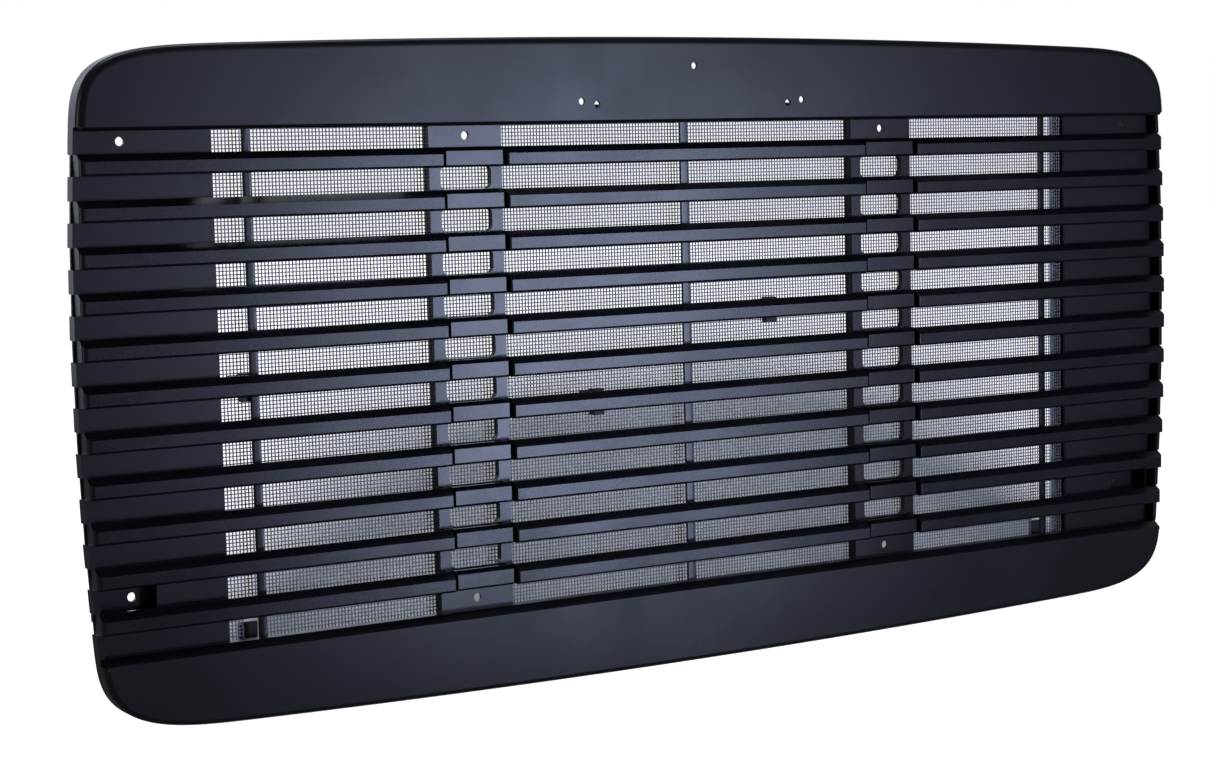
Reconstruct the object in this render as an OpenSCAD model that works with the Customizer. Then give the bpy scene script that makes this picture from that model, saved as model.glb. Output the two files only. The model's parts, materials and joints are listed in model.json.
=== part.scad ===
// Truck hood grille: a header, a footer and two end panels carry three banks of louvre blades,
// two slotted posts, three thin ribs and a woven bug screen.
// Millimetres. X runs across the grille, Y from front to back and Z up. The origin is the centre
// of the four post bolts, on the front face of the posts.

/* [Outline] */
// Half the width of the grille at its widest level
half_w = 592; // [588:0.5:600]
// Height of the top edge above the origin, on the centre line
top_z = 289.6; // [284:0.1:300]
// Height of the bottom edge, on the centre line
bottom_z = -286.5; // [-296:0.5:-284]
// How far the top and bottom edges drop towards the sides
crown = 11; // [6:0.2:13]
// How far the sides pull in 250 mm above and below the widest level
side_bow = 9.6; // [3:0.2:10]
// Height of the widest level
widest_z = 26; // [0:2:40]
// Width of a rounded corner
corner_w = 140; // [110:5:150]
// Height of an upper corner
upper_corner_h = 78; // [72:1:84]
// Height of a lower corner
lower_corner_h = 80; // [76:1:92]
// Squareness of the upper corners: 2 is an ellipse, more is squarer
upper_power = 4.2; // [3.5:0.1:5]
// Squareness of the lower corners
lower_power = 3.9; // [3:0.1:4.5]

/* [Shell] */
// Wall thickness of the moulded shells
wall = 3; // [2.5:0.5:3.5]
// Front face of the header
header_front_y = -20; // [-21:0.5:-19]
// Rear edge of the header's and footer's outer wall
shell_back_y = 2; // [0:0.5:4]
// Lower edge of the header's face
header_low_z = 215.5; // [215:0.5:217]
// Thickness of the stiffening webs inside the header and footer
web_t = 2; // [1.5:0.5:3]

/* [Louvres] */
// Distance from one row of blades to the next
pitch = 37; // [36.8:0.1:37.4]
// Top edge of the first row's face
first_row_z = 188; // [187:0.5:189]
// Front of the blade faces
blade_front_y = -19; // [-19.5:0.5:-18.5]
// Height of a blade's flat face
face_h = 9.5; // [8.5:0.5:10]
// Height of the crest above the top edge of the face
crest_h = 6; // [5:0.5:6.5]
// Depth of the slope from the face to the crest
crest_d = 8; // [7:0.5:9]
// Wall thickness of a blade
blade_t = 2.5; // [2:0.5:2.5]
// Half the length of the centre bank
centre_bank = 196.5; // [195:0.5:197]
// Inner end of the side banks
side_bank = 259; // [258.5:0.5:261]
// Corner radius of the blade ends beside the posts
inner_end_r = 1.5; // [1.5:0.5:4]
// Corner radius of the blade ends at the outside
outer_end_r = 4; // [3.5:0.5:5]

/* [Posts] */
// Centre line of a post
post_x = 228.5; // [227.5:0.5:229.5]
// Width of a post
post_w = 72; // [71:0.5:73]
// Thickness of the post's plate
post_t = 3.5; // [3:0.5:4]
// Rear edge of the post's side walls
screen_y = 12; // [11.5:0.5:12.5]
// Width of a slot
slot_w = 50; // [46:1:52]
// Height of a slot
slot_h = 20; // [18:1:20]
// Corner radius of a slot
slot_r = 5; // [4:0.5:6]
// Set-back of the crosspieces behind the blade faces
step_back = 3.5; // [3:0.5:4]
// Gap between a crosspiece and the blade ends
step_gap = 2.5; // [2:0.5:4]

/* [Mounting holes] */
// Height of the post bolt holes above and below the origin
post_hole_z = 204; // [203:0.5:205]
// Radius of the post bolt holes
post_hole_r = 3.75; // [3.5:0.25:4.25]
// Distance of the outer bolt holes from the centre line
outer_hole_x = 544; // [540:1:548]
// Height of the lower outer bolt holes
low_hole_z = -169.5; // [-170:0.5:-169]
// Radius of the outer bolt holes
outer_hole_r = 3.75; // [3.5:0.25:4.5]
// Height of the centre badge hole
badge_centre_z = 263.5; // [262:0.5:265]
// Distance of the inner badge holes from the centre line
badge_inner_x = 104.5; // [104:0.5:105]
// Height of the inner badge holes
badge_inner_z = 229; // [228:0.5:230]
// Distance of the outer badge holes from the centre line
badge_outer_x = 120.5; // [120:0.5:122]
// Height of the outer badge holes
badge_outer_z = 232; // [231:0.5:233]
// Radius of the badge holes
badge_hole_r = 3.2; // [2.8:0.1:3.4]

/* [End panels] */
// Inner edge of an end panel
panel_x = 465; // [465:1:468]
// Set-back of the return wall behind the inner edge
return_inset = 10.5; // [10.5:0.5:12]
// Depth of the return wall
return_d = 35; // [30:1:38]
// Width of the rim between the blade ends
rim_w = 4.5; // [4:0.5:5.5]
// Front of the rim
rim_front_y = -10; // [-12:0.5:-8]
// Inner edge of the lower pocket
pocket_x = 528; // [526:1:530]
// Outer edge of the lower pocket
pocket_far_x = 576; // [574:1:576]
// Depth of the pocket's floor
pocket_d = 15; // [12:1:18]
// Bottom edge of the pocket
pocket_low_z = -184; // [-186:1:-182]
// Top edge of the pocket
pocket_top_z = -150; // [-152:1:-148]

/* [Screen] */
// Half the width of the wire screen
screen_half_w = 474; // [473:0.5:474]
// Thickness of the woven wire
screen_t = 1.2; // [1:0.1:1.4]
// Top edge of the screen
screen_top_z = 230; // [229:1:232]
// Bottom edge of the screen
screen_low_z = -240; // [-242:1:-239]
// Distance of the outer ribs from the centre line
rib_x = 434.5; // [434:0.5:435]
// Width of an outer rib
rib_w = 7; // [6:0.5:8]
// Width of the centre rib
centre_rib_w = 8; // [7:0.5:9]
// Height of the screen rails
rail_h = 12; // [12:1:13]

/* [Hidden] */
$fn = 48;
eps = 0.01;

body_colour = "#2b2d33";
blade_colour = "#34373f";
dark_colour = "#17181c";
wire_colour = "#8d9096";
steel_colour = "#9a9da3";

rows = 11;
row_numbers = [for (i = [1:rows]) i];
row_names = ["01", "02", "03", "04", "05", "06", "07", "08", "09", "10", "11"];

// Levels of the rows and of the openings between them
function row_z(i) = first_row_z - (i - 1) * pitch;
footer_top_z = row_z(rows + 1);
header_lip_z = header_low_z - wall;
plate_top_z = 222;
plate_low_z = -226;

// Half the width of the outline at a height, away from the corners
bow_reach = 250;
function side_x(z) = half_w * (1 - side_bow / half_w * pow((z - widest_z) / bow_reach, 2));

// Outline: a rectangle with squarish round corners, then crowned and bowed. Inset moves it inwards.
function corner_point(inset, upper, t) =
    let (w = corner_w - inset,
         h = (upper ? upper_corner_h : lower_corner_h) - inset,
         power = 2 / (upper ? upper_power : lower_power),
         x = half_w - corner_w + w * pow(max(cos(t), 0), power),
         z = upper ? top_z - upper_corner_h + h * pow(max(sin(t), 0), power)
                   : bottom_z + lower_corner_h - h * pow(max(sin(t), 0), power))
    [x, z];
function bend(p) =
    let (x = p[0] * (1 - side_bow / half_w * pow((p[1] - widest_z) / bow_reach, 2)),
         z = p[1] - crown * pow(p[0] / half_w, 2) * (p[1] > 0 ? p[1] / top_z : p[1] / -bottom_z))
    [x, z];
side_steps = 5;
edge_steps = 7;
corner_steps = 12;
// Angles along a corner, closest together where it meets the straight sides
function corner_angle(k) = let (u = k / corner_steps) 90 * u * u * (3 - 2 * u);
function right_half(inset) = concat(
    [for (k = [0:edge_steps - 1]) [(half_w - corner_w) * k / edge_steps, bottom_z + inset]],
    [for (k = [corner_steps:-1:0]) corner_point(inset, false, corner_angle(k))],
    [for (k = [1:side_steps - 1])
        let (low = bottom_z + lower_corner_h, high = top_z - upper_corner_h)
        [half_w - inset, low + (high - low) * k / side_steps]],
    [for (k = [0:corner_steps]) corner_point(inset, true, corner_angle(k))],
    [for (k = [edge_steps - 1:-1:0]) [(half_w - corner_w) * k / edge_steps, top_z - inset]]);
function outline(inset) =
    let (half = right_half(inset), last = len(half) - 1)
    concat([for (p = half) bend(p)],
           [for (i = [last - 1:-1:1]) let (p = bend(half[i])) [-p[0], p[1]]]);

// A plate with the given shape in X and Z, from y0 to y1
module upright(y0, y1) translate([0, y1, 0]) rotate([90, 0, 0]) linear_extrude(y1 - y0) children();
module outline_slab(inset, y0, y1) upright(y0, y1) polygon(outline(inset));
// A bar along X with the given shape in Y and Z
module along_x(x0, x1) translate([x0, 0, 0]) rotate([90, 0, 90]) linear_extrude(x1 - x0) children();
// A box from two corners
module block(a, b) translate(a) cube(b - a);
// A round bore or pin along Y
module bore(x, z, r, y0, y1) translate([x, y1, z]) rotate([90, 0, 0]) cylinder(r = r, h = y1 - y0);

// Header and footer -------------------------------------------------------------------------
boss_xs = [150, 400];
boss_r = 5;
pilot_r = 1.85;
web_xs = [55, 160, 260, 360, 450, 530];
top_boss_z = 224;
low_boss_z = -234;

module webs(z0, z1, front_y)
    for (s = [-1, 1], x = web_xs)
        block([s * x - web_t / 2, front_y + wall - eps, z0], [s * x + web_t / 2, shell_back_y, z1]);

module bosses(z, front_y)
    for (s = [-1, 1], x = boss_xs) bore(s * x, z, boss_r, front_y + wall - eps, screen_y);

module pilots(z)
    for (s = [-1, 1], x = boss_xs) bore(s * x, z, pilot_r, -4, screen_y + 1);

module header_holes() {
    bore(0, badge_centre_z, badge_hole_r, header_front_y - 1, header_front_y + wall + 1);
    for (s = [-1, 1]) {
        bore(s * badge_inner_x, badge_inner_z, badge_hole_r, header_front_y - 1, header_front_y + wall + 1);
        bore(s * badge_outer_x, badge_outer_z, badge_hole_r, header_front_y - 1, header_front_y + wall + 1);
    }
}

// Lower lip of the header: a chamfer under the face, then a ledge back to the posts
module header_lip() {
    half = side_x(header_low_z) - rim_w - 1;
    along_x(-half, half)
        polygon([[header_front_y, header_low_z + 1], [header_front_y, header_low_z],
                 [header_front_y + wall, header_lip_z], [0, header_lip_z], [0, header_low_z],
                 [header_front_y + wall, header_low_z + 1]]);
}

module header_panel()
    color(body_colour)
    difference() {
        union() {
            intersection() {
                difference() {
                    outline_slab(0, header_front_y, shell_back_y);
                    outline_slab(wall, header_front_y + wall, shell_back_y + 1);
                }
                block([-half_w - 1, header_front_y - 1, header_low_z],
                      [half_w + 1, shell_back_y + 1, top_z + 1]);
            }
            header_lip();
            intersection() {
                webs(plate_top_z + 2, top_z, header_front_y);
                outline_slab(wall - eps, header_front_y, shell_back_y);
            }
            bosses(top_boss_z, header_front_y);
        }
        header_holes();
        pilots(top_boss_z);
    }

// Upper lip of the footer: the same slope as a blade, then a ledge back to the posts
module footer_lip() {
    half = side_x(footer_top_z) - end_inset;
    along_x(-half, half)
        polygon([[blade_front_y, footer_top_z], [blade_front_y + crest_d, footer_top_z + crest_h],
                 [0, footer_top_z + crest_h], [0, footer_top_z + crest_h - wall],
                 [blade_front_y + crest_d + 1, footer_top_z + crest_h - wall],
                 [blade_front_y + wall, footer_top_z - wall], [blade_front_y, footer_top_z - wall]]);
}

// Raised ends of the footer, which close the outline below the end panels
toe_x = 568;
module footer_toes() intersection() {
    outline_slab(0, rim_front_y, shell_back_y);
    for (s = [-1, 1]) {
        x = s > 0 ? toe_x : -half_w - 1;
        block([x, rim_front_y - 1, footer_top_z - eps],
              [x + half_w + 1 - toe_x, shell_back_y + 1, footer_top_z + crest_h]);
    }
}

module footer_panel()
    color(body_colour)
    difference() {
        union() {
            intersection() {
                difference() {
                    outline_slab(0, blade_front_y, shell_back_y);
                    outline_slab(wall, blade_front_y + wall, shell_back_y + 1);
                }
                block([-half_w - 1, blade_front_y - 1, bottom_z - 1],
                      [half_w + 1, shell_back_y + 1, footer_top_z]);
            }
            footer_lip();
            footer_toes();
            intersection() {
                webs(bottom_z, plate_low_z - 2, blade_front_y);
                outline_slab(wall - eps, blade_front_y, shell_back_y);
            }
            bosses(low_boss_z, blade_front_y);
        }
        pilots(low_boss_z);
    }

// Louvre blades -----------------------------------------------------------------------------
chamfer = 2;
lip_z = -face_h - chamfer;
crest_y = blade_front_y + crest_d;
leg_low = -3;

// Full section of a blade, solid to the plane of the posts. front_y may be set back.
module blade_section(front_y, rear_y) intersection() {
    polygon([[blade_front_y, 0], [crest_y, crest_h], [0, crest_h], [0, lip_z],
             [blade_front_y + chamfer, lip_z], [blade_front_y, -face_h]]);
    translate([front_y, lip_z - 1]) square([rear_y - front_y, crest_h - lip_z + 2]);
    if (front_y > blade_front_y)
        polygon([[front_y, 20], [0, 20], [0, lip_z], [front_y + chamfer, lip_z], [front_y, -face_h]]);
}

// Space under the slope and behind the short rear leg
module blade_hollow(front_y)
    polygon([[front_y + blade_t, lip_z - 1],
             [front_y + blade_t, (front_y - blade_front_y) * crest_h / crest_d - 1],
             [crest_y, crest_h - blade_t - 0.6], [crest_y, leg_low], [crest_y + blade_t, leg_low],
             [crest_y + blade_t, crest_h + 1], [1, crest_h + 1], [1, lip_z - 1]]);

// Plan of a blade: square at the back, with a radius at each front corner
module blade_plan(x0, x1, front_y, r0, r1) {
    translate([x0 + r0, front_y]) square([x1 - x0 - r0 - r1, 1 - front_y]);
    translate([x0, front_y + r0]) square([r0, 1 - front_y - r0]);
    translate([x1 - r1, front_y + r1]) square([r1, 1 - front_y - r1]);
    translate([x0 + r0, front_y + r0]) circle(r0);
    translate([x1 - r1, front_y + r1]) circle(r1);
}

module blade(x0, x1, front_y, r0, r1) difference() {
    intersection() {
        along_x(x0, x1) blade_section(front_y, 0);
        translate([0, 0, lip_z - 1]) linear_extrude(crest_h - lip_z + 2)
            blade_plan(x0, x1, front_y, r0, r1);
    }
    intersection() {
        along_x(x0 + blade_t, x1 - blade_t) blade_hollow(front_y);
        translate([0, 0, lip_z - 2]) linear_extrude(crest_h - lip_z + 4)
            blade_plan(x0 + blade_t, x1 - blade_t, front_y + blade_t,
                       max(r0 - blade_t, 1), max(r1 - blade_t, 1));
    }
}

end_inset = 3.5;
module side_louvre(i)
    color(blade_colour) translate([0, 0, row_z(i)])
        blade(side_bank, side_x(row_z(i)) - end_inset, blade_front_y, inner_end_r, outer_end_r);
module centre_louvre(i)
    color(blade_colour) translate([0, 0, row_z(i)])
        blade(-centre_bank, centre_bank, blade_front_y, inner_end_r, inner_end_r);
module left_louvre(i) mirror([1, 0, 0]) side_louvre(i);
module right_louvre(i) side_louvre(i);

// Posts -------------------------------------------------------------------------------------
slot_drop = 20.5;
slot_lip_t = 2;
slot_lip_d = 6.5;
step_end_r = 1;

module slot_shape(grow) {
    r = slot_r + grow;
    w = slot_w + 2 * grow;
    h = slot_h + 2 * grow;
    square([w - 2 * r, h], center = true);
    square([w, h - 2 * r], center = true);
    for (sx = [-1, 1], sz = [-1, 1]) translate([sx * (w / 2 - r), sz * (h / 2 - r)]) circle(r);
}

module post_slots(grow, y0, y1)
    for (i = [1:rows - 1])
        translate([post_x, 0, row_z(i) - slot_drop]) upright(y0, y1) slot_shape(grow);

module post_body() color(body_colour) {
    half = post_w / 2;
    difference() {
        union() {
            block([post_x - half, 0, plate_low_z], [post_x + half, post_t, plate_top_z]);
            for (x = [post_x - half, post_x + half - wall])
                block([x, 0, plate_low_z], [x + wall, screen_y, plate_top_z]);
            post_slots(slot_lip_t, 0, slot_lip_d);
            for (i = row_numbers)
                translate([0, 0, row_z(i)])
                    blade(centre_bank + step_gap, side_bank - step_gap, blade_front_y + step_back,
                          step_end_r, step_end_r);
        }
        post_slots(0, -1, slot_lip_d + 1);
        for (s = [-1, 1]) bore(post_x, s * post_hole_z, post_hole_r, -1, post_t + 1);
    }
}
module right_post() post_body();
module left_post() mirror([1, 0, 0]) post_body();

// Ribs: a flat strip with a small gusset behind every blade ----------------------------------
rib_t = 3;
gusset_t = 3;
module rib(x, w) color(body_colour) {
    block([x - w / 2, 0, plate_low_z], [x + w / 2, rib_t, plate_top_z]);
    for (i = row_numbers)
        block([x - gusset_t / 2, crest_y + blade_t, row_z(i) + leg_low],
              [x + gusset_t / 2, eps, row_z(i) + crest_h - 1]);
}
module left_rib() rib(-rib_x, rib_w);
module centre_rib() rib(0, centre_rib_w);
module right_rib() rib(rib_x, rib_w);

// End panels --------------------------------------------------------------------------------
panel_inset = 2;
return_x = panel_x + return_inset;
tongue_x = 566;
pocket_wall = 2.5;
rim_back_y = 2;
flange_x = 570;
flange_top_z = 213;
shield_x = 556;
panel_web_zs = [-100, -50, 0, 50, 100, 150];
panel_web_y = 8;

// Rim blocks stand in the gaps between the blade ends
module rim() intersection() {
    difference() {
        outline_slab(0, rim_front_y, rim_back_y);
        outline_slab(rim_w, rim_front_y - 1, rim_back_y + 1);
    }
    union() {
        block([panel_x, rim_front_y, row_z(1) + crest_h], [half_w + 1, rim_back_y, header_low_z]);
        for (i = row_numbers)
            block([panel_x, rim_front_y, row_z(i + 1) + crest_h],
                  [half_w + 1, rim_back_y, row_z(i) + lip_z]);
    }
}

// Deep flange and cross webs that stiffen the back of an end panel, and a shield beside the lower bolt
module panel_stiffeners() {
    block([flange_x, wall - eps, pocket_top_z], [flange_x + wall, return_d, flange_top_z]);
    block([shield_x, pocket_d + wall - eps, pocket_low_z], [shield_x + web_t, return_d, pocket_top_z]);
    for (z = panel_web_zs)
        block([return_x + wall - eps, wall - eps, z - web_t / 2],
              [flange_x + eps, panel_web_y, z + web_t / 2]);
}

module panel_body() color(body_colour) difference() {
    union() {
        intersection() {
            outline_slab(panel_inset, 0, wall);
            block([panel_x, -1, footer_top_z + crest_h], [half_w, wall + 1, header_lip_z]);
        }
        block([panel_x, 0, plate_low_z], [tongue_x, wall, plate_top_z]);
        block([return_x, 0, plate_low_z], [return_x + wall, return_d, plate_top_z]);
        rim();
        panel_stiffeners();
        block([pocket_x - pocket_wall, 0, pocket_low_z - pocket_wall],
              [pocket_far_x + pocket_wall, pocket_d + wall, pocket_top_z + pocket_wall]);
    }
    block([pocket_x, -1, pocket_low_z], [pocket_far_x, pocket_d, pocket_top_z]);
    bore(outer_hole_x, post_hole_z, outer_hole_r, -1, wall + 1);
    bore(outer_hole_x, low_hole_z, outer_hole_r, pocket_d - 1, pocket_d + wall + 1);
}
module right_end_panel() panel_body();
module left_end_panel() mirror([1, 0, 0]) panel_body();

// Bug screen, its rails and edge bindings ----------------------------------------------------
screen_back_y = screen_y + screen_t;
notch_x0 = 430;
notch_w = 17;
notch_x1 = notch_x0 + notch_w;
notch_top_z = -199;
rail_t = 2;
rail_half_w = 459;
shank_r = 1.8;
clearance_r = 2.2;
bolt_clear_r = 10;
head_r = 4;
head_t = 2.2;

module bug_screen() color(wire_colour) difference() {
    block([-screen_half_w, screen_y, screen_low_z], [screen_half_w, screen_back_y, screen_top_z]);
    for (x = [-notch_x1, notch_x0])
        block([x, screen_y - 1, screen_low_z - 1], [x + notch_w, screen_back_y + 1, notch_top_z]);
    for (z = [top_boss_z, low_boss_z], s = [-1, 1], x = boss_xs)
        bore(s * x, z, clearance_r, screen_y - 1, screen_back_y + 1);
    for (c = clip_places) bore(c[0], c[1], stud_r + 0.2, screen_y - 1, screen_back_y + 1);
    for (side = [-1, 1], level = [-1, 1])
        bore(side * post_x, level * post_hole_z, bolt_clear_r, screen_y - 1, screen_back_y + 1);
}

module rail(z) color(dark_colour) difference() {
    block([-rail_half_w, screen_back_y, z - rail_h / 2],
          [rail_half_w, screen_back_y + rail_t, z + rail_h / 2]);
    for (s = [-1, 1], x = boss_xs)
        bore(s * x, z, clearance_r, screen_y, screen_back_y + rail_t + 1);
}
module screen_top_rail() rail(top_boss_z);
module screen_bottom_rail() rail(low_boss_z);

// U-shaped strip folded round the edge of the mesh
binding_w = 4;
binding_t = 1.2;
binding_low_z = -226;
binding_top_z = 216;
module binding() color(dark_colour) difference() {
    block([screen_half_w - binding_w, screen_y - binding_t, binding_low_z],
          [screen_half_w + 0.8, screen_back_y + binding_t, binding_top_z]);
    block([0, screen_y, binding_low_z - 1], [screen_half_w, screen_back_y, binding_top_z + 1]);
}
module screen_right_binding() binding();
module screen_left_binding() mirror([1, 0, 0]) binding();

module rail_screws() color(steel_colour)
    for (z = [top_boss_z, low_boss_z], s = [-1, 1], x = boss_xs) {
        bore(s * x, z, shank_r, 0, screen_back_y + rail_t + eps);
        bore(s * x, z, head_r, screen_back_y + rail_t, screen_back_y + rail_t + head_t);
    }

// Clips that hold the middle of the screen: a stepped plate with a stud through the mesh, and a
// push-on washer behind it. Each place is X and the height of the stud.
stud_r = 2;
washer_r = 7;
washer_t = 1;
clip_front_y = 3.5;
clip_rows = [[-439.5, 6], [-95.5, 7], [98.5, 5]];
stud_drop = 6;
clip_half_w = 5.5;
clip_top = 12.5;
clip_low = -11.5;
wing_w = 10;
wing_top = 11;
wing_low = -6;
clip_places = [for (c = clip_rows) [c[0], row_z(c[1]) - stud_drop]];

module screen_clips() color(dark_colour)
    for (c = clip_places) translate([c[0], 0, c[1]]) {
        block([-clip_half_w, clip_front_y, clip_low], [clip_half_w, screen_y, clip_top]);
        block([-clip_half_w - wing_w, clip_front_y + wall, wing_low], [0, screen_y, wing_top]);
        bore(0, 0, stud_r, screen_y - eps, screen_back_y + washer_t + 2);
    }

module clip_washers() color(steel_colour)
    for (c = clip_places) difference() {
        bore(c[0], c[1], washer_r, screen_back_y, screen_back_y + washer_t);
        bore(c[0], c[1], stud_r + 0.05, screen_back_y - 1, screen_back_y + washer_t + 1);
    }

// Lower tabs: an upright behind the screen's notch, on a foot that reaches the footer's face
tab_x0 = 432;
tab_x1 = 449;
tab_top_z = -203;
tab_foot_z = -262;
tab_y = 18;
tab_t = 3;
foot_t = 4;
module tab() color(dark_colour) {
    block([tab_x0, tab_y, tab_foot_z], [tab_x1, tab_y + tab_t, tab_top_z]);
    block([tab_x0, blade_front_y + wall, tab_foot_z], [tab_x1, tab_y + eps, tab_foot_z + foot_t]);
}
module right_lower_tab() tab();
module left_lower_tab() mirror([1, 0, 0]) tab();

// Every node ---------------------------------------------------------------------------------
header_panel();
footer_panel();
left_end_panel();
right_end_panel();
left_post();
right_post();
left_rib();
centre_rib();
right_rib();
for (i = row_numbers) {
    left_louvre(i);
    centre_louvre(i);
    right_louvre(i);
}
bug_screen();
screen_top_rail();
screen_bottom_rail();
screen_left_binding();
screen_right_binding();
screen_clips();
clip_washers();
rail_screws();
left_lower_tab();
right_lower_tab();
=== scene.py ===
import json
import math

import bmesh
import bpy
import numpy as np
from mathutils import Matrix, Vector

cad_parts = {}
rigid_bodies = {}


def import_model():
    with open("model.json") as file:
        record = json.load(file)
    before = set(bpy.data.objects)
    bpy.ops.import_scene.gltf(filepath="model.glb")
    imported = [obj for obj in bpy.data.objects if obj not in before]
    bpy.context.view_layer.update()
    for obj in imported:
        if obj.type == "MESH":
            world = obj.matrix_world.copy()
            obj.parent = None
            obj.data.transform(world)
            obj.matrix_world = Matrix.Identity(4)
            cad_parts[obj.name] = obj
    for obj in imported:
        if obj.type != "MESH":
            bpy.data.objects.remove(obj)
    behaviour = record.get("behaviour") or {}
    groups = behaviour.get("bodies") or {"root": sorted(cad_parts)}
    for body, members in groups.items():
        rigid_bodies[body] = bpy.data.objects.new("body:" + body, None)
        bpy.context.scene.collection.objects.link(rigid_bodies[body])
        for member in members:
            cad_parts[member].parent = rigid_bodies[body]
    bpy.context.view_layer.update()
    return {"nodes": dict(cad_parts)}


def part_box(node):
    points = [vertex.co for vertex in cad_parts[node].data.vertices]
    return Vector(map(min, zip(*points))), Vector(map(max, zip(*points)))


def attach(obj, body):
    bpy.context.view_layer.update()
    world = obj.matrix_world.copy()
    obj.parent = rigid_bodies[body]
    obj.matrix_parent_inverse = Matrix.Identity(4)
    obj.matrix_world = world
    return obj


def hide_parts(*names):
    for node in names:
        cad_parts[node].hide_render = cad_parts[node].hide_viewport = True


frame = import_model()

nodes = frame["nodes"]


# ---------------------------------------------------------------------------------------------
# Driving dimensions, in metres, in the frame of the CAD model
# ---------------------------------------------------------------------------------------------
HEADER_LOW, HEADER_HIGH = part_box("header_panel")
FOOTER_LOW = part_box("footer_panel")[0]
SCREEN_LOW, SCREEN_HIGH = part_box("bug_screen")

# Outline: a rectangle with superelliptic corners, bowed sides and a crowned top and bottom
HALF_W = 0.592
WIDEST_Z = 0.026
BOW_REACH = 0.250
SIDE_BOW = 0.0096
CROWN = 0.011
TOP_Z = HEADER_HIGH.z
BOTTOM_Z = FOOTER_LOW.z
CORNER_W = 0.140
UPPER_CORNER_H = 0.078
LOWER_CORNER_H = 0.080
UPPER_POWER = 4.2
LOWER_POWER = 3.9

# Header and footer shells
WALL = 0.003
SHELL_BACK_Y = 0.002
PLATE_BACK_Y = 0.0
HEADER_FACE_Y = HEADER_LOW.y
FOOTER_FACE_Y = FOOTER_LOW.y
HEADER_FACE_LOW_Z = 0.2155
FOOTER_FACE_TOP_Z = -0.219
EDGE_W = 0.0075
FOOTER_EDGE_W = 0.0050
EDGE_DEPTH = 0.0065
RIM_W = 0.0045
END_INSET = 0.0035

# Ledge along the top of the footer, and the toes that close its ends
CREST_H = 0.006
CREST_D = 0.008
TOE_X = 0.568
TOE_FRONT_Y = -0.010
TOE_ROUND = 0.0015
TOE_STEPS = 6

# Webs, screw bosses and badge holes
WEB_XS = (0.055, 0.160, 0.260, 0.360, 0.450, 0.530)
WEB_T = 0.002
TOP_WEB_Z = 0.224
LOW_WEB_Z = -0.228
BOSS_XS = (0.150, 0.400)
TOP_BOSS_Z = 0.224
LOW_BOSS_Z = -0.234
BOSS_R = 0.005
BOSS_BACK_Y = HEADER_HIGH.y
PILOT_R = 0.00185
PILOT_FRONT_Y = -0.004
PILOT_SIDES = 24
BADGE_HOLES = ((0, 0.2635), (-0.1045, 0.229), (0.1045, 0.229), (-0.1205, 0.232), (0.1205, 0.232))
BADGE_R = 0.0032

# Woven screen
WIRE_PITCH = 0.0254 / 8
WIRE_R = 0.00062
CRIMP = 0.00016
EDGE_MARGIN = 0.001
NOTCH_X0 = 0.430
NOTCH_X1 = 0.447
NOTCH_TOP_Z = -0.199
POST_BOLTS = [(side * 0.2285, level * 0.204) for side in (-1, 1) for level in (-1, 1)]
BOLT_CLEAR_R = 0.010

# Viewpoint: left of the grille and a little above its middle, turned towards its far end
CAMERA_AT = Vector((-1.2467, -1.8837, 0.1856))
CAMERA_YAW = 31.575
CAMERA_PITCH = -5.458
CAMERA_ROLL = 1.295
SENSOR_MM = 36.0
LENS_MM = 72.329


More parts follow.
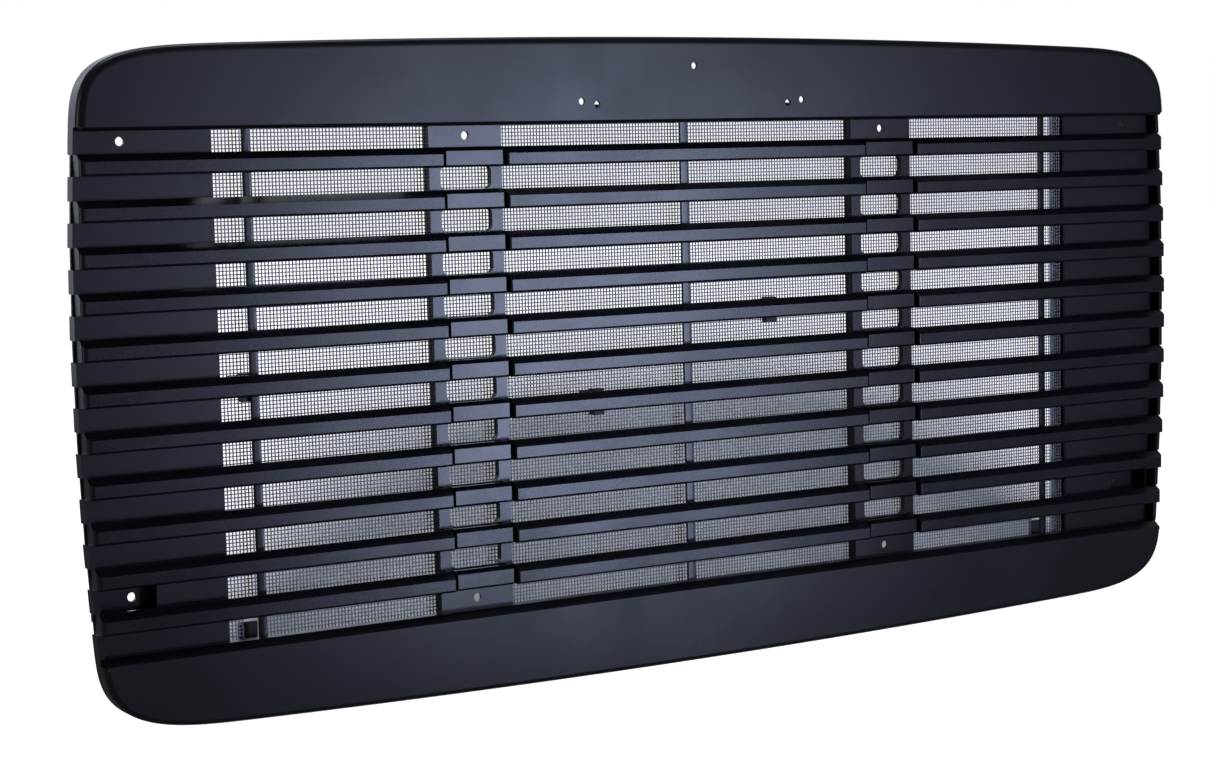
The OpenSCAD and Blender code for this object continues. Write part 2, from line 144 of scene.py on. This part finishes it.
# ---------------------------------------------------------------------------------------------
# Node helpers for the procedural materials
# ---------------------------------------------------------------------------------------------
class Graph:
    """A small wrapper that adds shader nodes and links them in one line each."""

    def __init__(self, name):
        self.material = bpy.data.materials.new(name)
        self.material.use_nodes = True
        self.tree = self.material.node_tree
        self.tree.nodes.clear()
        self.output = self.tree.nodes.new("ShaderNodeOutputMaterial")
        self.shader = self.tree.nodes.new("ShaderNodeBsdfPrincipled")
        self.tree.links.new(self.shader.outputs["BSDF"], self.output.inputs["Surface"])
        self.coord = self.tree.nodes.new("ShaderNodeTexCoord")

    def link(self, source, target):
        self.tree.links.new(source, target)

    def mapping(self, scale=(1, 1, 1)):
        m = self.tree.nodes.new("ShaderNodeMapping")
        m.inputs["Scale"].default_value = scale
        self.link(self.coord.outputs["Object"], m.inputs["Vector"])
        return m.outputs["Vector"]

    def noise(self, vector, scale, detail=4.0, rough=0.55, distortion=0.0):
        n = self.tree.nodes.new("ShaderNodeTexNoise")
        n.inputs["Scale"].default_value = scale
        n.inputs["Detail"].default_value = detail
        n.inputs["Roughness"].default_value = rough
        n.inputs["Distortion"].default_value = distortion
        self.link(vector, n.inputs["Vector"])
        return n.outputs["Fac"]

    def ramp(self, value, low, high, at=(0.3, 0.7)):
        """A colour between low and high, as value goes from at[0] to at[1]."""
        r = self.tree.nodes.new("ShaderNodeValToRGB")
        r.color_ramp.elements[0].position = at[0]
        r.color_ramp.elements[1].position = at[1]
        r.color_ramp.elements[0].color = (*low, 1)
        r.color_ramp.elements[1].color = (*high, 1)
        self.link(value, r.inputs["Fac"])
        return r.outputs["Color"]

    def span(self, value, low, high, at=(0.3, 0.7)):
        """A number between low and high, as value goes from at[0] to at[1]."""
        r = self.tree.nodes.new("ShaderNodeMapRange")
        r.inputs["From Min"].default_value = at[0]
        r.inputs["From Max"].default_value = at[1]
        r.inputs["To Min"].default_value = low
        r.inputs["To Max"].default_value = high
        self.link(value, r.inputs["Value"])
        return r.outputs["Result"]

    def maths(self, operation, a, b):
        n = self.tree.nodes.new("ShaderNodeMath")
        n.operation = operation
        for socket, value in zip(n.inputs, (a, b)):
            if isinstance(value, (int, float)):
                socket.default_value = value
            else:
                self.link(value, socket)
        return n.outputs["Value"]

    def mix(self, factor, a, b):
        m = self.tree.nodes.new("ShaderNodeMix")
        m.data_type = "RGBA"
        self.link(factor, m.inputs["Factor"])
        for socket, value in ((m.inputs["A"], a), (m.inputs["B"], b)):
            if isinstance(value, tuple):
                socket.default_value = (*value, 1)
            else:
                self.link(value, socket)
        return m.outputs["Result"]

    def bump(self, height, distance, strength=1.0, normal=None):
        b = self.tree.nodes.new("ShaderNodeBump")
        b.inputs["Strength"].default_value = strength
        b.inputs["Distance"].default_value = distance
        self.link(height, b.inputs["Height"])
        if normal is not None:
            self.link(normal, b.inputs["Normal"])
        return b.outputs["Normal"]

    def finish(self, colour, roughness, normal, metallic=0.0, ior=1.5):
        self.link(colour, self.shader.inputs["Base Color"])
        self.link(roughness, self.shader.inputs["Roughness"])
        self.link(normal, self.shader.inputs["Normal"])
        self.shader.inputs["Metallic"].default_value = metallic
        self.shader.inputs["IOR"].default_value = ior
        return self.material


def moulded_plastic(name, dark, light, rough, grain=0.000012, flow=(2.0, 1.0, 9.0)):
    """Satin moulded plastic: fine stipple, faint flow marks, light scuffs and patches of other gloss."""
    g = Graph(name)
    plain = g.mapping()
    streaks = g.noise(g.mapping(flow), 6.0, 3.0, 0.6, 0.6)
    stipple = g.noise(plain, 1500.0, 2.0, 0.6)
    orange_peel = g.noise(plain, 260.0, 3.0, 0.5)
    patches = g.noise(plain, 9.0, 5.0, 0.6)
    scuffs = g.noise(g.mapping((3.0, 3.0, 14.0)), 55.0, 8.0, 0.7, 1.2)
    colour = g.mix(g.span(streaks, 0.0, 1.0, (0.35, 0.65)), dark, light)
    colour = g.mix(g.span(scuffs, 0.0, 0.35, (0.62, 0.8)), colour, tuple(c * 2.2 for c in light))
    fine = g.span(stipple, -0.035, 0.035)
    broad = g.span(patches, rough - 0.035, rough + 0.035)
    worn = g.span(scuffs, 0.0, 0.10, (0.6, 0.8))
    roughness = g.maths("ADD", g.maths("ADD", broad, fine), worn)
    normal = g.bump(orange_peel, 0.00001, 0.6)
    normal = g.bump(stipple, grain, 0.8, normal)
    return g.finish(colour, roughness, normal)


def metal(name, dark, light, rough, brush=(40.0, 40.0, 400.0), distance=0.00001):
    """Plated or drawn metal: fine draw marks, dull patches and a slightly uneven tint."""
    g = Graph(name)
    draw = g.noise(g.mapping(brush), 12.0, 4.0, 0.6)
    tint = g.noise(g.mapping(), 14.0, 4.0, 0.6)
    spots = g.noise(g.mapping(), 900.0, 3.0, 0.7)
    colour = g.mix(g.span(tint, 0.0, 1.0), dark, light)
    colour = g.mix(g.span(spots, 0.0, 0.4, (0.55, 0.8)), colour, tuple(c * 0.45 for c in dark))
    roughness = g.maths("ADD", g.span(draw, rough - 0.06, rough + 0.06), g.span(spots, 0.0, 0.12))
    return g.finish(colour, roughness, g.bump(draw, distance, 0.5), metallic=1.0)


SHELL = moulded_plastic("shell_plastic", (0.0052, 0.0056, 0.0072), (0.0085, 0.0092, 0.0120), 0.33)
BLADE = moulded_plastic("blade_plastic", (0.0100, 0.0107, 0.0138), (0.0150, 0.0160, 0.0205), 0.27,
                        flow=(1.2, 3.0, 20.0))
POST = moulded_plastic("post_plastic", (0.0050, 0.0054, 0.0070), (0.0078, 0.0085, 0.0110), 0.25,
                       flow=(9.0, 3.0, 2.0))
DARK = moulded_plastic("binding_plastic", (0.0040, 0.0041, 0.0046), (0.0070, 0.0072, 0.0080), 0.45,
                       grain=0.00002)
WIRE = metal("drawn_wire", (0.50, 0.53, 0.64), (0.66, 0.69, 0.80), 0.50, brush=(60.0, 60.0, 60.0))
STEEL = metal("plated_steel", (0.50, 0.50, 0.50), (0.68, 0.67, 0.64), 0.30)


# ---------------------------------------------------------------------------------------------
# Mesh helpers
# ---------------------------------------------------------------------------------------------
def new_object(name, verts, faces, material):
    mesh = bpy.data.meshes.new(name)
    mesh.from_pydata([tuple(v) for v in verts], [], [tuple(f) for f in faces])
    mesh.validate()
    mesh.update()
    obj = bpy.data.objects.new(name, mesh)
    bpy.context.scene.collection.objects.link(obj)
    mesh.materials.append(material)
    return obj


def fix_normals(obj):
    bm = bmesh.new()
    bm.from_mesh(obj.data)
    bmesh.ops.remove_doubles(bm, verts=bm.verts, dist=1e-6)
    bmesh.ops.recalc_face_normals(bm, faces=bm.faces)
    bm.to_mesh(obj.data)
    bm.free()


def apply_modifiers(obj):
    bpy.context.view_layer.update()
    made = obj.evaluated_get(bpy.context.evaluated_depsgraph_get())
    mesh = bpy.data.meshes.new_from_object(made)
    obj.modifiers.clear()
    obj.data = mesh


def boolean(obj, other, operation):
    mod = obj.modifiers.new(operation, "BOOLEAN")
    mod.operation = operation
    mod.solver = "EXACT"
    mod.object = other
    apply_modifiers(obj)
    bpy.data.objects.remove(other)


def keep_flats(obj):
    """Smooth shading that leaves the large flat faces flat."""
    flat = obj.modifiers.new("flat", "WEIGHTED_NORMAL")
    flat.mode = "FACE_AREA"
    flat.weight = 100
    flat.keep_sharp = True


def soften(obj, width, segments, merge_flats):
    """Small moulding radii on every sharp edge, made by modifiers alone."""
    weld = obj.modifiers.new("weld", "WELD")
    weld.merge_threshold = 1e-6
    if merge_flats:
        flats = obj.modifiers.new("flats", "DECIMATE")
        flats.decimate_type = "DISSOLVE"
        flats.angle_limit = math.radians(0.3)
    bevel = obj.modifiers.new("bevel", "BEVEL")
    bevel.width = width
    bevel.segments = segments
    bevel.limit_method = "ANGLE"
    bevel.angle_limit = math.radians(35.0)
    bevel.use_clamp_overlap = True
    bevel.miter_outer = "MITER_ARC"
    obj.data.shade_smooth()
    keep_flats(obj)


def smooth_by_angle(obj):
    obj.data.shade_smooth()
    obj.data.set_sharp_from_angle(angle=math.radians(32.0))
    keep_flats(obj)


def box_mesh(low, high):
    x0, y0, z0 = low
    x1, y1, z1 = high
    verts = [(x, y, z) for z in (z0, z1) for y in (y0, y1) for x in (x0, x1)]
    faces = [(0, 2, 3, 1), (4, 5, 7, 6), (0, 1, 5, 4), (2, 6, 7, 3), (0, 4, 6, 2), (1, 3, 7, 5)]
    return verts, faces


def joined(parts):
    verts, faces = [], []
    for v, f in parts:
        base = len(verts)
        verts += list(v)
        faces += [tuple(i + base for i in face) for face in f]
    return verts, faces


def prism(front, back):
    """A closed solid between two rings with the same number of points."""
    n = len(front)
    faces = [(k, (k + 1) % n, (k + 1) % n + n, k + n) for k in range(n)]
    faces += [tuple(range(n)), tuple(range(2 * n - 1, n - 1, -1))]
    return front + back, faces


def tube_along_y(x, z, radius, y0, y1, sides=40):
    turns = [2 * math.pi * k / sides for k in range(sides)]
    ring = [(x + radius * math.cos(turn), z + radius * math.sin(turn)) for turn in turns]
    return prism([(px, y0, pz) for px, pz in ring], [(px, y1, pz) for px, pz in ring])


def bar_along_x(half, section):
    """A bar from -half to half with the given section of (y, z) points."""
    return prism([(-half, y, z) for y, z in section], [(half, y, z) for y, z in section])


def mirrored(xs):
    return [side * x for side in (-1, 1) for x in xs]


# ---------------------------------------------------------------------------------------------
# The grille's outline
# ---------------------------------------------------------------------------------------------
EDGE_STEPS = 40
CORNER_STEPS = 48
SIDE_STEPS = 30
ROLL_POWER = 1.25


def side_x(z):
    return HALF_W - SIDE_BOW * ((z - WIDEST_Z) / BOW_REACH) ** 2


def bend(x, z):
    """Bow the sides and crown the top and bottom of the straight-sided outline."""
    bowed = x * (1 - SIDE_BOW / HALF_W * ((z - WIDEST_Z) / BOW_REACH) ** 2)
    pull = CROWN * (x / HALF_W) ** 2 * (z / TOP_Z if z > 0 else z / -BOTTOM_Z)
    return bowed, z - pull


def corner_step(k, height, power):
    """Point k of a corner, counted from the side: its x, and how far it is up or down the corner."""
    u = k / CORNER_STEPS
    t = math.pi / 2 * u * u * (3 - 2 * u)
    x = HALF_W - CORNER_W + CORNER_W * max(math.cos(t), 0) ** (2 / power)
    return x, height * math.sin(t) ** (2 / power)


def right_half():
    """The outline's right half, from the middle of the bottom up to the middle of the top."""
    straight = HALF_W - CORNER_W
    low, high = BOTTOM_Z + LOWER_CORNER_H, TOP_Z - UPPER_CORNER_H
    points = [(straight * k / EDGE_STEPS, BOTTOM_Z) for k in range(EDGE_STEPS)]
    for k in range(CORNER_STEPS, -1, -1):
        x, rise = corner_step(k, LOWER_CORNER_H, LOWER_POWER)
        points.append((x, low - rise))
    points += [(HALF_W, low + (high - low) * k / SIDE_STEPS) for k in range(1, SIDE_STEPS)]
    for k in range(CORNER_STEPS + 1):
        x, rise = corner_step(k, UPPER_CORNER_H, UPPER_POWER)
        points.append((x, high + rise))
    points += [(straight * k / EDGE_STEPS, TOP_Z) for k in range(EDGE_STEPS - 1, -1, -1)]
    return [bend(x, z) for x, z in points]


def outline():
    half = right_half()
    return np.array(half + [(-x, z) for x, z in half[-2:0:-1]])


OUTLINE = outline()
TANGENT = np.roll(OUTLINE, -1, 0) - np.roll(OUTLINE, 1, 0)
TANGENT /= np.linalg.norm(TANGENT, axis=1)[:, None]
INWARD = np.stack([-TANGENT[:, 1], TANGENT[:, 0]], 1)


def pillow(front_y, back_y, inset, width, depth, steps=16):
    """A slab of the grille's outline whose front edge rolls over softly into the flat face."""
    rings = [(inset, back_y)]
    for k in range(steps + 1):
        a = math.pi / 2 * k / steps
        rings.append((inset + width * (1 - math.cos(a)),
                      front_y + depth * (1 - math.sin(a)) ** ROLL_POWER))
    n = len(OUTLINE)
    verts = [(x, y, z) for distance, y in rings for x, z in OUTLINE + INWARD * distance]
    faces = []
    for base in range(0, (len(rings) - 1) * n, n):
        for k in range(n):
            after = (k + 1) % n
            faces.append((base + k, base + after, base + n + after, base + n + k))
    faces.append(tuple(range(n)))
    faces.append(tuple(range(len(rings) * n - 1, (len(rings) - 1) * n - 1, -1)))
    return verts, faces


# ---------------------------------------------------------------------------------------------
# Header and footer shells
# ---------------------------------------------------------------------------------------------
# How far solids reach into each other, how far a cutter runs past a face, and half a cutting box
LAP = 0.001
PAST = 0.02
CUT_X = 0.7
CUT_Y = 0.1
CUT_Z = 0.1

# Height past which the outline is its top or its bottom, and the share of the wall outside a web's end
BAND_Z = 0.1
WALL_SHARE = 0.7


def half_shell(name, front_y, z0, z1, edge_w):
    """One end of the moulded shell: a rounded slab, hollow behind, cut off level."""
    obj = new_object(name, *pillow(front_y, SHELL_BACK_Y, 0.0, edge_w, EDGE_DEPTH), SHELL)
    fix_normals(obj)
    core = new_object("core", *pillow(front_y + WALL, SHELL_BACK_Y + PAST, WALL,
                                      edge_w - WALL, EDGE_DEPTH - WALL / 2), SHELL)
    fix_normals(core)
    boolean(obj, core, "DIFFERENCE")
    keep = new_object("keep", *box_mesh((-CUT_X, -CUT_Y, z0), (CUT_X, CUT_Y, z1)), SHELL)
    fix_normals(keep)
    boolean(obj, keep, "INTERSECT")
    return obj


def add_solids(obj, parts, operation="UNION"):
    other = new_object("solids", *joined(parts), SHELL)
    fix_normals(other)
    boolean(obj, other, operation)


def inner_edge_z(x, end):
    """Height over x at which a web ends inside the wall. end is 1 at the top and -1 at the bottom."""
    edge = OUTLINE[end * OUTLINE[:, 1] > BAND_Z]
    order = np.argsort(edge[:, 0])
    return float(np.interp(x, edge[order, 0], edge[order, 1])) - end * WALL * WALL_SHARE


def add_webs(obj, front_y, inner_z, end):
    webs = []
    for x in mirrored(WEB_XS):
        low, high = sorted((inner_z, inner_edge_z(x, end)))
        webs.append(box_mesh((x - WEB_T / 2, front_y + WALL - LAP, low),
                             (x + WEB_T / 2, SHELL_BACK_Y, high)))
    add_solids(obj, webs)


def add_bosses(obj, front_y, z):
    add_solids(obj, [tube_along_y(x, z, BOSS_R, front_y + WALL - LAP / 2, BOSS_BACK_Y)
                     for x in mirrored(BOSS_XS)])


def pilots(z):
    return [tube_along_y(x, z, PILOT_R, PILOT_FRONT_Y, PAST, PILOT_SIDES) for x in mirrored(BOSS_XS)]


def header_lip():
    """The return along the header's lower edge, with a softened nose."""
    f, low = HEADER_FACE_Y, HEADER_FACE_LOW_Z
    section = [
        (f + 0.0002, low + 0.001),
        (f, low - 0.0002),
        (f + 0.0006, low - 0.0010),
        (f + WALL - 0.0006, low - WALL + 0.0003),
        (f + WALL + 0.0004, low - WALL),
        (PLATE_BACK_Y, low - WALL),
        (PLATE_BACK_Y, low),
        (f + WALL, low + 0.001)]
    return bar_along_x(side_x(low) - RIM_W - LAP, section)


def header():
    f = HEADER_FACE_Y
    obj = half_shell("header_shell", f, HEADER_FACE_LOW_Z, TOP_Z + CUT_Z, EDGE_W)
    add_solids(obj, [header_lip()])
    add_webs(obj, f, TOP_WEB_Z, 1)
    add_bosses(obj, f, TOP_BOSS_Z)
    badges = [tube_along_y(x, z, BADGE_R, f - 0.01, f + WALL + LAP) for x, z in BADGE_HOLES]
    add_solids(obj, badges + pilots(TOP_BOSS_Z), "DIFFERENCE")
    return obj


def footer_lip():
    """The slope and ledge along the footer's upper edge, with a softened crest."""
    f, top = FOOTER_FACE_Y, FOOTER_FACE_TOP_Z
    section = [
        (f, top - WALL),
        (f + 0.00002, top - 0.0006),
        (f + 0.0006, top + 0.0004),
        (f + CREST_D - 0.0006, top + CREST_H - 0.0003),
        (f + CREST_D + 0.0006, top + CREST_H),
        (PLATE_BACK_Y, top + CREST_H),
        (PLATE_BACK_Y, top + CREST_H - WALL),
        (f + CREST_D + 0.001, top + CREST_H - WALL),
        (f + WALL, top - WALL)]
    return bar_along_x(side_x(top) - END_INSET, section)


def footer_toes():
    """Two blocks under the rims of the end panels, cut from a slab of the same outline."""
    toes = new_object("toes", *pillow(TOE_FRONT_Y, SHELL_BACK_Y, 0.0, TOE_ROUND, TOE_ROUND, TOE_STEPS),
                      SHELL)
    fix_normals(toes)
    low_z, high_z = FOOTER_FACE_TOP_Z - LAP / 2, FOOTER_FACE_TOP_Z + CREST_H
    ends = new_object("ends", *joined([
        box_mesh((-CUT_X, -CUT_Y, low_z), (-TOE_X, CUT_Y, high_z)),
        box_mesh((TOE_X, -CUT_Y, low_z), (CUT_X, CUT_Y, high_z))]), SHELL)
    fix_normals(ends)
    boolean(toes, ends, "INTERSECT")
    return toes


def footer():
    f = FOOTER_FACE_Y
    obj = half_shell("footer_shell", f, BOTTOM_Z - CUT_Z, FOOTER_FACE_TOP_Z, FOOTER_EDGE_W)
    add_solids(obj, [footer_lip()])
    boolean(obj, footer_toes(), "UNION")
    add_webs(obj, f, LOW_WEB_Z, -1)
    add_bosses(obj, f, LOW_BOSS_Z)
    add_solids(obj, pilots(LOW_BOSS_Z), "DIFFERENCE")
    return obj


for make, node in ((header, "header_panel"), (footer, "footer_panel")):
    shell = make()
    fix_normals(shell)
    smooth_by_angle(shell)
    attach(shell, "root")
    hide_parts(node)


# ---------------------------------------------------------------------------------------------
# Woven wire screen
# ---------------------------------------------------------------------------------------------
SCREEN_MID_Y = (SCREEN_LOW.y + SCREEN_HIGH.y) / 2
WIRE_SIDES = 4
LONGEST_SPAN = 1.5 * WIRE_PITCH


def wire_rows(fixed, along, phase, upright, keep):
    """One wire per value in fixed, bent over and under the wires that cross it at the values in along.

    A wire stops wherever keep(fixed, along) is false, and starts again beyond.
    """
    verts, faces = [], []
    turns = [math.pi / 4 + math.pi / 2 * k for k in range(WIRE_SIDES)]
    corners = [(WIRE_R * math.cos(turn), WIRE_R * math.sin(turn)) for turn in turns]
    for i, f in enumerate(fixed):
        stations = [(a, CRIMP * (1 if (i + j + phase) % 2 else -1))
                    for j, a in enumerate(along) if keep(f, a)]
        if len(stations) < 2:
            continue
        base = len(verts)
        for a, lift in stations:
            for across, deep in corners:
                y = SCREEN_MID_Y + lift + deep
                verts.append((f + across, y, a) if upright else (a, y, f + across))
        for j in range(len(stations) - 1):
            if abs(stations[j + 1][0] - stations[j][0]) > LONGEST_SPAN:
                continue
            ring = base + WIRE_SIDES * j
            for k in range(WIRE_SIDES):
                after = (k + 1) % WIRE_SIDES
                faces.append((ring + k, ring + after, ring + WIRE_SIDES + after, ring + WIRE_SIDES + k))
    return verts, faces


def woven_screen():
    count_x = int((SCREEN_HIGH.x - SCREEN_LOW.x - EDGE_MARGIN) / WIRE_PITCH)
    count_z = int((SCREEN_HIGH.z - SCREEN_LOW.z - EDGE_MARGIN) / WIRE_PITCH)
    xs = [(k - count_x / 2) * WIRE_PITCH for k in range(count_x + 1)]
    mid_z = (SCREEN_HIGH.z + SCREEN_LOW.z) / 2
    zs = [mid_z + (k - count_z / 2) * WIRE_PITCH for k in range(count_z + 1)]

    def inside(x, z):
        """Away from the notches at the foot and from the holes that the post bolts pass through."""
        if z < NOTCH_TOP_Z and NOTCH_X0 < abs(x) < NOTCH_X1:
            return False
        return all(math.hypot(x - bx, z - bz) > BOLT_CLEAR_R for bx, bz in POST_BOLTS)

    upright = wire_rows(xs, zs, 0, True, inside)
    level = wire_rows(zs, xs, 1, False, lambda z, x: inside(x, z))
    obj = new_object("woven_screen", *joined([upright, level]), WIRE)
    obj.data.shade_smooth()
    return obj


screen = woven_screen()
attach(screen, "root")
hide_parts("bug_screen")


# ---------------------------------------------------------------------------------------------
# CAD nodes that keep their shape: moulding radii and materials
# ---------------------------------------------------------------------------------------------
# Moulding radii
LOUVRE_R = 0.0011
PANEL_R = 0.0010
POST_R = 0.0006
SMALL_R = 0.0004
FASTENER_R = 0.00025


def dress(node, material, radius, segments=3, merge_flats=False):
    obj = nodes[node]
    obj.data.materials.clear()
    obj.data.materials.append(material)
    soften(obj, radius, segments, merge_flats)


for name in sorted(nodes):
    if "louvre" in name:
        dress(name, BLADE, LOUVRE_R)
    elif "post" in name:
        dress(name, POST, POST_R)
    elif "rib" in name:
        dress(name, POST, SMALL_R, 2)
    elif "end_panel" in name:
        dress(name, SHELL, PANEL_R, merge_flats=True)
    elif name in ("clip_washers", "rail_screws"):
        dress(name, STEEL, FASTENER_R, 2)
    elif name not in ("header_panel", "footer_panel", "bug_screen"):
        dress(name, DARK, SMALL_R, 2)


# ---------------------------------------------------------------------------------------------
# Floor, light and camera
# ---------------------------------------------------------------------------------------------
FLOOR_REACH = 12.0
FLOOR_GAP = 0.0005
FLOOR_GLOW = 0.10
SUN_POWER = 24.0
SUN_WIDTH = 13.0
SUN_HEIGHT = 9.0
REFLECTED_GLOW = 0.10
COOL_WHITE = (0.80, 0.88, 1.0)
KEY_BLUE = (0.60, 0.68, 1.0)


def add_to_scene(obj):
    bpy.context.scene.collection.objects.link(obj)
    return obj


def direction(yaw, pitch):
    """Unit vector at yaw degrees from +Y towards +X, and pitch degrees above level."""
    yaw, pitch = math.radians(yaw), math.radians(pitch)
    return Vector((math.sin(yaw) * math.cos(pitch), math.cos(yaw) * math.cos(pitch), math.sin(pitch)))


def facing(away):
    """Rotation of a lamp that shines along the vector away."""
    return away.to_track_quat("-Z", "Y").to_euler()


def pale_floor():
    g = Graph("pale_floor")
    speck = g.noise(g.mapping(), 40.0, 6.0, 0.6)
    g.shader.inputs["Emission Color"].default_value = (1, 1, 1, 1)
    g.shader.inputs["Emission Strength"].default_value = FLOOR_GLOW
    material = g.finish(g.ramp(speck, (0.86, 0.86, 0.86), (0.90, 0.90, 0.90)),
                        g.span(speck, 0.75, 0.85), g.bump(speck, 0.0002, 0.2))
    r, z = FLOOR_REACH, BOTTOM_Z - FLOOR_GAP
    floor = new_object("floor", [(-r, -r, z), (r, -r, z), (r, r, z), (-r, r, z)], [(0, 1, 2, 3)], material)
    floor.visible_glossy = False
    floor.visible_diffuse = False
    return floor


def daylight(floor):
    """Low soft light on the floor alone, from behind the viewer, so that the grille shades the floor."""
    data = bpy.data.lights.new("daylight", "SUN")
    data.energy = SUN_POWER
    data.angle = math.radians(SUN_WIDTH)
    lamp = add_to_scene(bpy.data.objects.new("daylight", data))
    lamp.rotation_euler = facing(direction(CAMERA_YAW, -SUN_HEIGHT))
    receivers = bpy.data.collections.new("daylight_receivers")
    receivers.objects.link(floor)
    lamp.light_linking.receiver_collection = receivers


def studio_world():
    """White around the object where the camera looks, near black where the plastic reflects it."""
    world = bpy.data.worlds.new("studio")
    world.use_nodes = True
    tree = world.node_tree
    tree.nodes.clear()
    output = tree.nodes.new("ShaderNodeOutputWorld")
    mix = tree.nodes.new("ShaderNodeMixShader")
    path = tree.nodes.new("ShaderNodeLightPath")
    dim = tree.nodes.new("ShaderNodeBackground")
    white = tree.nodes.new("ShaderNodeBackground")
    dim.inputs["Color"].default_value = (0.80, 0.86, 1.0, 1)
    dim.inputs["Strength"].default_value = REFLECTED_GLOW
    white.inputs["Color"].default_value = (1, 1, 1, 1)
    white.inputs["Strength"].default_value = 1.0
    tree.links.new(path.outputs["Is Camera Ray"], mix.inputs["Fac"])
    tree.links.new(dim.outputs["Background"], mix.inputs[1])
    tree.links.new(white.outputs["Background"], mix.inputs[2])
    tree.links.new(mix.outputs["Shader"], output.inputs["Surface"])
    bpy.context.scene.world = world


def softbox(name, place, aim, width, height, power, colour):
    data = bpy.data.lights.new(name, "AREA")
    data.shape = "RECTANGLE"
    data.size = width
    data.size_y = height
    data.energy = power
    data.color = colour
    lamp = add_to_scene(bpy.data.objects.new(name, data))
    lamp.location = place
    lamp.rotation_euler = facing(Vector(aim) - Vector(place))
    return lamp


def outer_lights(floor):
    """Softboxes for the back, the sides and the top, which light the grille but not the floor."""
    parts = bpy.data.collections.new("grille_parts")
    for obj in bpy.context.scene.objects:
        if obj.type == "MESH" and obj is not floor:
            parts.objects.link(obj)
    for name, place, width, height, power in (
            ("rear", (0.0, 3.2, 0.6), 3.2, 1.8, 34.0),
            ("right_side", (3.0, 0.8, 0.5), 1.3, 1.3, 16.0),
            ("left_side", (-3.0, 0.2, 0.5), 1.3, 1.3, 7.0),
            ("top", (0.0, 0.7, 2.8), 2.2, 1.0, 20.0)):
        lamp = softbox(name, place, (0.0, 0.0, 0.0), width, height, power, COOL_WHITE)
        lamp.visible_camera = False
        lamp.light_linking.receiver_collection = parts


def camera():
    data = bpy.data.cameras.new("camera")
    data.sensor_width = SENSOR_MM
    data.lens = LENS_MM
    data.clip_start = 0.05
    data.clip_end = 60
    cam = add_to_scene(bpy.data.objects.new("camera", data))
    yaw, roll = math.radians(CAMERA_YAW), math.radians(CAMERA_ROLL)
    ahead = direction(CAMERA_YAW, CAMERA_PITCH)
    right = Vector((math.cos(yaw), -math.sin(yaw), 0))
    down = ahead.cross(right).normalized()
    turned_right = right * math.cos(roll) + down * math.sin(roll)
    turned_down = down * math.cos(roll) - right * math.sin(roll)
    axes = Matrix((turned_right, -turned_down, -ahead)).transposed()
    cam.matrix_world = Matrix.Translation(CAMERA_AT) @ axes.to_4x4()
    bpy.context.scene.camera = cam


ground = pale_floor()
daylight(ground)
outer_lights(ground)
studio_world()
softbox("key", (1.38, -2.63, -0.18), (-0.05, 0.0, 0.0), 0.80, 1.15, 32.0, KEY_BLUE)
camera()
bpy.context.scene.view_settings.view_transform = "Standard"
bpy.context.scene.view_settings.look = "None"
